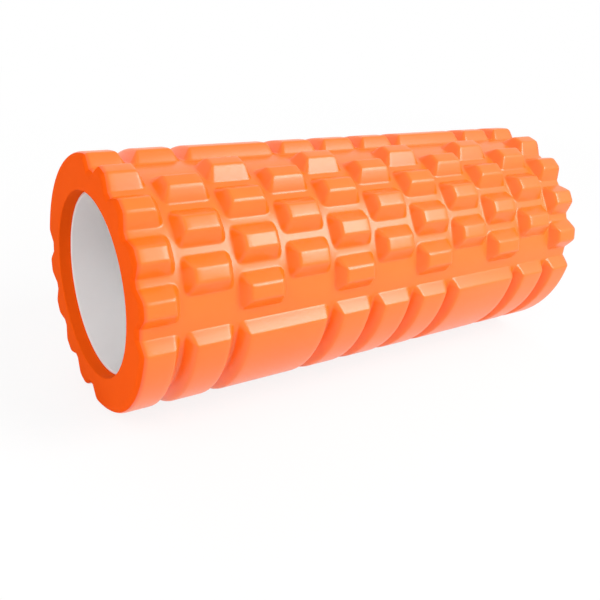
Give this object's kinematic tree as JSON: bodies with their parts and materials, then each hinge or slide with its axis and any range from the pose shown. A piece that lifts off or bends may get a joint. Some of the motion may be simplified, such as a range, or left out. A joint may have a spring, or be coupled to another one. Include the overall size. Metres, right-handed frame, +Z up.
{
  "type": "foam roller",
  "caption": "Hollow foam roller for massage: a moulded foam sleeve with raised blocks and bars, bonded onto a rigid core tube that is open from end to end.",
  "frame": {"origin": "on the roller's axis at mid-length, the centre of its box", "axes": "+X along the roller's axis, +Z up as the roller lies on a floor, +Y across it"},
  "size_m": [0.33, 0.1444, 0.1436],
  "materials": {
    "core_plastic": "smooth white extruded plastic",
    "adhesive": "dried contact adhesive",
    "foam": "satin skin of moulded orange foam"
  },
  "bodies": {
    "root": {"core_tube": "core_plastic", "adhesive_film": "adhesive", "foam_sleeve": "foam"}
  },
  "joints": []
}
